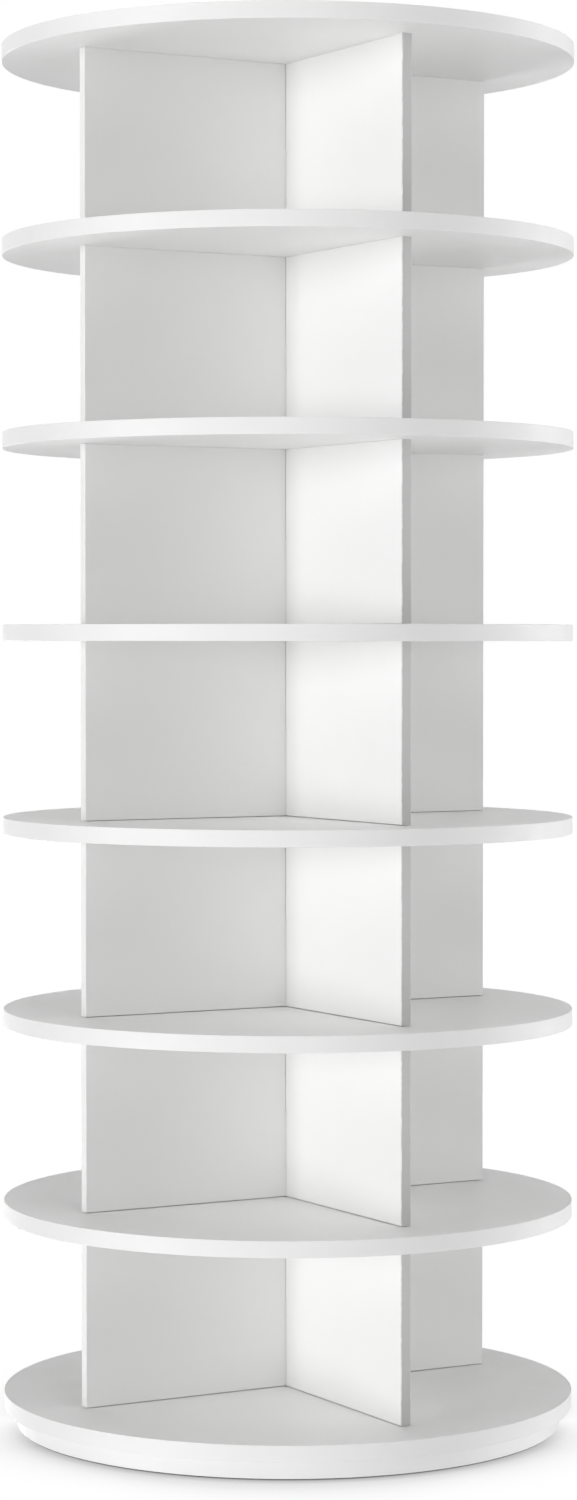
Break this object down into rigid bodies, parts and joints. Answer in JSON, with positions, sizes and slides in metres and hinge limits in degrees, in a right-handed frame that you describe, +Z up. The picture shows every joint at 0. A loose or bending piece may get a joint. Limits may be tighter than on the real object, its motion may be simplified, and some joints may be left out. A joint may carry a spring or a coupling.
{
  "type": "rotating shoe tower",
  "caption": "Tall round shoe tower: tiers of round shelves held apart by crossed dividers, turning on a ball bearing ring over a fixed round plinth.",
  "frame": {"origin": "on the floor, under the turning axis", "axes": "+Z up along the turning axis; the crossed dividers lie along X and Y; the picture's camera stands in front at -Y, turned about 30 degrees towards -X"},
  "size_m": [0.6, 0.6, 1.4485],
  "materials": {
    "white_board": "satin white laminate on fibreboard, edges banded",
    "white_plastic": "satin moulded",
    "aluminium_ring": "turned, lightly brushed",
    "bright_steel": "zinc plated",
    "grey_rubber": "matt, fine grained"
  },
  "bodies": {
    "base": {"plinth_board": "white_board", "foot_pad_1": "grey_rubber", "foot_pad_2": "grey_rubber", "foot_pad_3": "grey_rubber", "foot_pad_4": "grey_rubber", "foot_pad_5": "grey_rubber", "foot_pad_6": "grey_rubber", "turntable_lower_ring": "aluminium_ring", "lower_ring_bolt_1": "bright_steel", "lower_ring_bolt_2": "bright_steel", "lower_ring_bolt_3": "bright_steel", "lower_ring_bolt_4": "bright_steel"},
    "tower": {"bottom_disc": "white_board", "shelf_disc_1": "white_board", "shelf_disc_2": "white_board", "shelf_disc_3": "white_board", "shelf_disc_4": "white_board", "shelf_disc_5": "white_board", "shelf_disc_6": "white_board", "top_disc": "white_board", "tier_1_divider_slot_up": "white_board", "tier_1_divider_slot_down": "white_board", "tier_2_divider_slot_up": "white_board", "tier_2_divider_slot_down": "white_board", "tier_3_divider_slot_up": "white_board", "tier_3_divider_slot_down": "white_board", "tier_4_divider_slot_up": "white_board", "tier_4_divider_slot_down": "white_board", "tier_5_divider_slot_up": "white_board", "tier_5_divider_slot_down": "white_board", "tier_6_divider_slot_up": "white_board", "tier_6_divider_slot_down": "white_board", "tier_7_divider_slot_up": "white_board", "tier_7_divider_slot_down": "white_board", "turntable_upper_ring": "aluminium_ring", "upper_ring_screw_1": "bright_steel", "upper_ring_screw_2": "bright_steel", "upper_ring_screw_3": "bright_steel", "upper_ring_screw_4": "bright_steel", "bottom_disc_screw_1": "bright_steel", "bottom_disc_screw_2": "bright_steel", "bottom_disc_screw_3": "bright_steel", "bottom_disc_screw_4": "bright_steel", "top_disc_screw_1": "bright_steel", "top_disc_screw_2": "bright_steel", "top_disc_screw_3": "bright_steel", "top_disc_screw_4": "bright_steel", "top_disc_screw_cap_1": "white_plastic", "top_disc_screw_cap_2": "white_plastic", "top_disc_screw_cap_3": "white_plastic", "top_disc_screw_cap_4": "white_plastic"},
    "ball_cage": {"turntable_ball_cage": "bright_steel"}
  },
  "joints": [
    {"name": "tower_spin", "type": "hinge", "parent": "base", "child": "tower", "pos_m": [0, 0, 0.01675], "axis": [0, 0, 1], "continuous": true},
    {"name": "cage_spin", "type": "hinge", "parent": "base", "child": "ball_cage", "pos_m": [0, 0, 0.01675], "axis": [0, 0, 1], "continuous": true}
  ],
  "couplings": [
    {"joint": "cage_spin", "follows": "tower_spin", "ratio": 0.4932}
  ]
}
